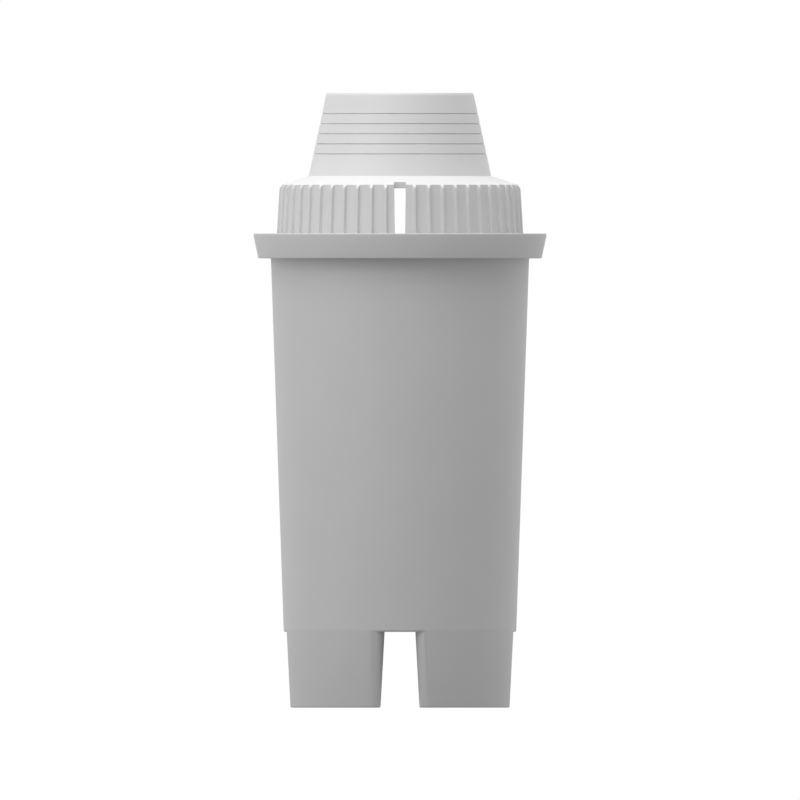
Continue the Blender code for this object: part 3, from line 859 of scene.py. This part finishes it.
def gauze(name, node, pitch):
    """Fills the node's disc with crossing threads. Two threads make up its thickness."""
    lowest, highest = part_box(node)
    radius, middle = highest.x, (lowest.z + highest.z) / 2
    thread = (highest.z - lowest.z) / 2
    curve = bpy.data.curves.new(name, "CURVE")
    curve.dimensions = "3D"
    curve.bevel_depth = thread / 2
    curve.bevel_resolution = 1
    curve.use_fill_caps = True
    reach = radius - thread
    lines = int(reach / pitch)
    for direction in (0, 1):
        for line in range(-lines, lines + 1):
            half = math.sqrt(reach**2 - (line * pitch) ** 2)
            crossings = range(-int(half / pitch), int(half / pitch) + 1)
            spline = curve.splines.new("POLY")
            spline.points.add(len(crossings) - 1)
            for point, crossing in zip(spline.points, crossings):
                over = 1 if (line + crossing + direction) % 2 else -1
                place = [crossing * pitch, line * pitch]
                if direction:
                    place.reverse()
                point.co = (*place, middle + over * thread / 2, 1)
    threads = bpy.data.objects.new(name, curve)
    bpy.context.scene.collection.objects.link(threads)
    hold(threads)
    bpy.ops.object.convert(target="MESH")
    threads = bpy.context.object
    bpy.ops.object.select_all(action="DESELECT")
    bpy.ops.mesh.primitive_torus_add(
        location=(0, 0, middle), major_radius=radius - thread, minor_radius=thread,
        major_segments=192, minor_segments=12,
    )
    bpy.ops.object.transform_apply(location=True, rotation=True, scale=True)
    threads.select_set(True)
    bpy.context.view_layer.objects.active = threads
    bpy.ops.object.join()
    edit(threads)
    bpy.ops.mesh.select_all(action="SELECT")
    bpy.ops.mesh.remove_doubles(threshold=0.0005 * MM)
    bpy.ops.mesh.normals_make_consistent(inside=False)
    bpy.ops.object.mode_set(mode="OBJECT")
    return threads, radius


strainer_gauze, strainer_gauze_radius = gauze("strainer_gauze", "strainer_mesh", 0.8 * MM)
floor_gauze, floor_gauze_radius = gauze("floor_gauze", "lower_mesh", 0.7 * MM)
print("threads:", len(strainer_gauze.data.polygons), "and", len(floor_gauze.data.polygons), "faces")

# %% Finish the gauze


def monofilament(name):
    """Drawn polyester thread: pale, slightly see-through, and glossier than the mouldings."""
    made, nodes, links, shader = material(name)
    cloud = grain(nodes, links, 700)
    tone = spread(nodes, links, cloud.outputs["Fac"], (0.66, 0.66, 0.64), (0.74, 0.74, 0.71))
    links.new(tone.outputs["Color"], shader.inputs["Base Color"])
    shader.inputs["Roughness"].default_value = 0.32
    shader.inputs["Subsurface Weight"].default_value = 0.15
    shader.inputs["Subsurface Scale"].default_value = 0.3 * MM
    drawn = grain(nodes, links, 6000)
    bumped(nodes, links, drawn.outputs["Fac"], shader, 0.1, 0.01 * MM)
    return made


polyester_thread = monofilament("gauze_thread")
finish_piece(strainer_gauze, "strainer", "gauze", polyester_thread, "strainer_mesh")
finish_piece(floor_gauze, "housing", "gauze", polyester_thread, "lower_mesh")

stretched = (
    (strainer_gauze, strainer_gauze_radius, strainer),
    (floor_gauze, floor_gauze_radius, "support_grid"),
)
for piece, radius, rest in stretched:
    print(piece.name, f"cut from a {2 * radius / MM:.1f} mm square")

# %% [markdown]
# ## The granules
#
# Activated carbon fills the upper half of the cup and ion exchange resin the lower. Carbon is broken, so its
# grains are sharp. Resin comes as round beads. Modelling tens of thousands of grains would be wasteful,
# because only the outer layer of a packed bed can ever be seen. So each bed is one solid whose skin takes
# the shape of the grains: a cylinder, remeshed evenly, then displaced inwards by a cell pattern.

# %% Make a bed with a granular skin


def tapered(name, node):
    """A cylinder in the node's place that widens with the cup."""
    lowest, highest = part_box(node)
    depth, middle = highest.z - lowest.z, (highest.z + lowest.z) / 2
    deselect()
    place = (0, 0, middle)
    bpy.ops.mesh.primitive_cylinder_add(vertices=CUP_SEGMENTS, radius=highest.x, depth=depth, location=place)
    piece = settle(name)
    edit(piece)
    pick(piece, "FACE", lambda face: face.normal.z < -0.9)
    narrow = cavity_radius(lowest.z) / cavity_radius(highest.z)
    bpy.ops.transform.resize(value=(narrow, narrow, 1), center_override=(0, 0, 0))
    bpy.ops.object.mode_set(mode="OBJECT")
    return piece


def granular(name, node, voxel, grain_size, depth, metric):
    bed = tapered(name, node)
    even = bed.modifiers.new("even", "REMESH")
    even.mode = "VOXEL"
    even.voxel_size = voxel
    apply_modifier(bed, even)
    cells = bpy.data.textures.new(name + "_cells", "VORONOI")
    cells.noise_scale = grain_size
    cells.distance_metric = metric
    cells.noise_intensity = 1.2
    skin = bed.modifiers.new("skin", "DISPLACE")
    skin.texture = cells
    skin.texture_coords = "LOCAL"
    skin.mid_level = 0
    skin.strength = -depth
    apply_modifier(bed, skin)
    print(name, len(bed.data.polygons), "faces")
    return bed


CARBON_GRAIN = 1.3 * MM
RESIN_GRAIN = 1.0 * MM
carbon = granular("carbon_granules", "carbon_bed", 0.42 * MM, CARBON_GRAIN, 0.45 * MM, "MANHATTAN")
resin = granular("resin_beads", "resin_bed", 0.4 * MM, RESIN_GRAIN, 0.4 * MM, "DISTANCE")

# %% Finish the beds


def granulate(name, size, low, high, roughness):
    """One tone for each grain, from a cell pattern, which also sinks the bump between the grains."""
    made, nodes, links, shader = material(name)
    place = nodes.new("ShaderNodeTexCoord")
    cells = nodes.new("ShaderNodeTexVoronoi")
    cells.inputs["Scale"].default_value = 1 / size
    links.new(place.outputs["Object"], cells.inputs["Vector"])
    split = nodes.new("ShaderNodeSeparateColor")
    links.new(cells.outputs["Color"], split.inputs["Color"])
    tone = spread(nodes, links, split.outputs["Red"], low, high)
    links.new(tone.outputs["Color"], shader.inputs["Base Color"])
    shader.inputs["Roughness"].default_value = roughness
    bumped(nodes, links, cells.outputs["Distance"], shader, 0.5, -0.3 * MM)
    return made, shader


BLACKS = ((0.012, 0.012, 0.013), (0.05, 0.05, 0.052))
AMBERS = ((0.5, 0.3, 0.09), (0.72, 0.5, 0.2))
carbon_black, _ = granulate("carbon_black", CARBON_GRAIN, *BLACKS, 0.55)
resin_amber, resin_shader = granulate("resin_amber", RESIN_GRAIN, *AMBERS, 0.28)
resin_shader.inputs["Subsurface Weight"].default_value = 0.25
resin_shader.inputs["Subsurface Scale"].default_value = 0.5 * MM
finish_piece(carbon, "housing", "carbon", carbon_black, "carbon_bed")
finish_piece(resin, "housing", "resin", resin_amber, "resin_bed")

# %% [markdown]
# ## The fleece discs
#
# Three discs of thick polyester fleece lie over, between and under the beds. They are cut from a mat of
# matted fibres, so their faces are never quite flat and their cut edge is soft. Each is a cylinder, remeshed
# and displaced by a soft cloud pattern, and its material adds the fibres.

# %% Make the fleece discs


def fleece_disc(name, node):
    """A soft disc in the node's place, rounded at its edges and slightly uneven all over."""
    disc = tapered(name, node)
    edit(disc)
    pick(disc, "EDGE", lambda edge: edge.calc_face_angle(0) > math.radians(60))
    bpy.ops.mesh.bevel(offset=0.45 * MM, segments=3)
    bpy.ops.object.mode_set(mode="OBJECT")
    even = disc.modifiers.new("even", "REMESH")
    even.mode = "VOXEL"
    even.voxel_size = 0.4 * MM
    apply_modifier(disc, even)
    clouds = bpy.data.textures.new(name + "_clouds", "CLOUDS")
    clouds.noise_scale = 1.4 * MM
    clouds.noise_depth = 3
    matted = disc.modifiers.new("matted", "DISPLACE")
    matted.texture = clouds
    matted.texture_coords = "LOCAL"
    matted.mid_level = 0
    matted.strength = -0.3 * MM
    apply_modifier(disc, matted)
    return disc


def fibres(name):
    """Matted white fibres: stretched noise in two directions, a soft sheen, no gloss."""
    made, nodes, links, shader = material(name)
    place = nodes.new("ShaderNodeTexCoord")
    strands = []
    for stretch in ((9000, 900, 3000), (900, 9000, 3000)):
        lay = nodes.new("ShaderNodeMapping")
        lay.inputs["Scale"].default_value = stretch
        links.new(place.outputs["Object"], lay.inputs["Vector"])
        noise = nodes.new("ShaderNodeTexNoise")
        noise.inputs["Scale"].default_value = 1
        noise.inputs["Distortion"].default_value = 1.5
        links.new(lay.outputs["Vector"], noise.inputs["Vector"])
        strands.append(noise.outputs["Fac"])
    crossed = nodes.new("ShaderNodeMath")
    crossed.operation = "MAXIMUM"
    links.new(strands[0], crossed.inputs[0])
    links.new(strands[1], crossed.inputs[1])
    tone = spread(nodes, links, crossed.outputs[0], (0.62, 0.62, 0.6), (0.86, 0.86, 0.84))
    links.new(tone.outputs["Color"], shader.inputs["Base Color"])
    shader.inputs["Roughness"].default_value = 0.95
    shader.inputs["Sheen Weight"].default_value = 0.35
    bumped(nodes, links, crossed.outputs[0], shader, 0.7, 0.12 * MM)
    return made


fleece = fibres("white_fleece")
below = {"upper_felt": carbon, "separator_felt": resin, "lower_felt": floor_gauze}
for node, rest in below.items():
    disc = fleece_disc(node.replace("felt", "fleece"), node)
    finish_piece(disc, "housing", "fleece", fleece, node)

# %% [markdown]
# ## The support grid
#
# A flat plastic grid on the cup's floor carries the gauze and leaves the water free ways down into the feet.
# It is a disc with rounded edges. Its slots lie on both sides of a spine, each as long as the round rim lets
# it be, and are cut with blocks whose ends are rounded.

# %% Turn the grid's disc
grid_low, grid_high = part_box("support_grid")
grid_corners = [
    (grid_high.x * 0.3, grid_high.z, 0),
    (grid_high.x, grid_high.z, 0.25 * MM),
    (grid_high.x, grid_low.z, 0.25 * MM),
    (grid_high.x * 0.3, grid_low.z, 0),
]
grid = turn("support_grid_disc", rounded(grid_corners), CUP_SEGMENTS)
print("grid:", f"{2 * grid_high.x / MM:.1f} mm across")

# %% Cut its slots
GRID_PITCH = 3.6 * MM
GRID_SLOT = 2.0 * MM
GRID_RIM = 1.6 * MM
GRID_SPINE = 1.6 * MM
GRID_ROUNDING = 0.7 * MM

blocks = []
for index in range(-5, 6):
    across = index * GRID_PITCH
    end = math.sqrt((grid_high.x - GRID_RIM) ** 2 - (abs(across) + GRID_SLOT / 2) ** 2)
    length = end - GRID_SPINE / 2
    for side in (-1, 1):
        centre = (across, side * (GRID_SPINE + length) / 2, (grid_low.z + grid_high.z) / 2)
        blocks.append(slot_cutter("block", centre, (GRID_SLOT, length, THROUGH), GRID_ROUNDING, 5))
deselect()
for block in blocks:
    block.select_set(True)
bpy.context.view_layer.objects.active = blocks[0]
bpy.ops.object.join()
combine(grid, blocks[0], "DIFFERENCE")
finish_piece(grid, "housing", "strainer_plastic", strainer_plastic, "support_grid")

# %% [markdown]
# ## Floor, light and camera
#
# The cartridge stands in a white room. Two large soft lamps hang close above it, so the shoulder is nearly
# white and the walls are grey and darken a little downwards. A third stands to the left in front. The room
# itself gives an even light and a few broad ones, the strongest from the white backdrop behind, which the
# satin plastic mirrors along its outline. The broad light from below is negative: it takes some of the even
# light away, as a dark table would. The floor receives light but sends none back up.

# %% Floor and background
deselect()
bpy.ops.mesh.primitive_plane_add(size=3, location=(0, 0, -0.05 * MM))
floor = bpy.context.object
floor.name = "floor"
paper, _, _, paper_shader = material("pale_paper")
paper_shader.inputs["Base Color"].default_value = (0.86, 0.86, 0.86, 1)
paper_shader.inputs["Roughness"].default_value = 0.9
floor.data.materials.append(paper)
floor.visible_diffuse = False
floor.visible_glossy = False
print("floor laid")

# %% The room's light
EVEN_LIGHT = 0.425
BROAD_LIGHTS = {
    "behind": ((0, 1, 0), 0.53),
    "left": ((-1, 0, 0), 0.25),
    "right": ((1, 0, 0), 0.21),
    "below": ((0, 0, -1), -0.25),
}

world = bpy.data.worlds.new("white_room")
bpy.context.scene.world = world
world.use_nodes = True
room, room_links = world.node_tree.nodes, world.node_tree.links
room.clear()
place = room.new("ShaderNodeTexCoord")
total = None
for name, (direction, strength) in BROAD_LIGHTS.items():
    facing = room.new("ShaderNodeVectorMath")
    facing.label = name
    facing.operation = "DOT_PRODUCT"
    facing.inputs[1].default_value = direction
    room_links.new(place.outputs["Generated"], facing.inputs[0])
    lobe = room.new("ShaderNodeMath")
    lobe.operation = "MAXIMUM"
    lobe.inputs[1].default_value = 0
    room_links.new(facing.outputs["Value"], lobe.inputs[0])
    level = room.new("ShaderNodeMath")
    level.operation = "MULTIPLY_ADD"
    level.inputs[1].default_value = strength
    level.inputs[2].default_value = EVEN_LIGHT
    room_links.new(lobe.outputs[0], level.inputs[0])
    if total:
        room_links.new(total, level.inputs[2])
    total = level.outputs[0]

lit = room.new("ShaderNodeBackground")
seen = room.new("ShaderNodeBackground")
seen.inputs["Color"].default_value = (1, 1, 1, 1)
ray = room.new("ShaderNodeLightPath")
mix = room.new("ShaderNodeMixShader")
out = room.new("ShaderNodeOutputWorld")
room_links.new(total, lit.inputs["Strength"])
room_links.new(ray.outputs["Is Camera Ray"], mix.inputs["Fac"])
room_links.new(lit.outputs[0], mix.inputs[1])
room_links.new(seen.outputs[0], mix.inputs[2])
room_links.new(mix.outputs[0], out.inputs["Surface"])
print("room light: even", EVEN_LIGHT, "and", len(BROAD_LIGHTS), "broad lights")

# %% The soft lamps
CENTRE = (cad_low + cad_high) / 2


def lamp(name, azimuth, elevation, distance, size, watts):
    """A square soft lamp aimed at the middle of the object. Azimuth 0 is in front, positive to the right."""
    turned, raised = math.radians(azimuth), math.radians(elevation)
    way = Vector((math.sin(turned), -math.cos(turned), 0)) * math.cos(raised)
    way.z = math.sin(raised)
    data = bpy.data.lights.new(name, "AREA")
    data.size = size
    data.energy = watts
    made = bpy.data.objects.new(name, data)
    bpy.context.scene.collection.objects.link(made)
    made.location = CENTRE + way * distance
    made.rotation_euler = (-way).to_track_quat("-Z", "Y").to_euler()
    made.visible_camera = False


lamp("top_softbox", 0, 88, 0.3, 0.35, 0.56)
lamp("high_softbox", -25, 60, 0.4, 0.35, 0.5)
lamp("left_softbox", -50, 25, 0.5, 0.4, 0.31)
print("lamps set")

# %% The camera
VIEW_WIDTH = 162.63 * MM
EYE = (0, -0.6, 62.55 * MM)

deselect()
lens = bpy.data.cameras.new("front_view")
lens.type = "ORTHO"
lens.ortho_scale = VIEW_WIDTH
camera = bpy.data.objects.new("front_view", lens)
bpy.context.scene.collection.objects.link(camera)
camera.location = EYE
camera.rotation_euler = (math.pi / 2, 0, 0)
bpy.context.scene.camera = camera
bpy.context.scene.view_settings.view_transform = "Standard"
print("camera", tuple(camera.location))
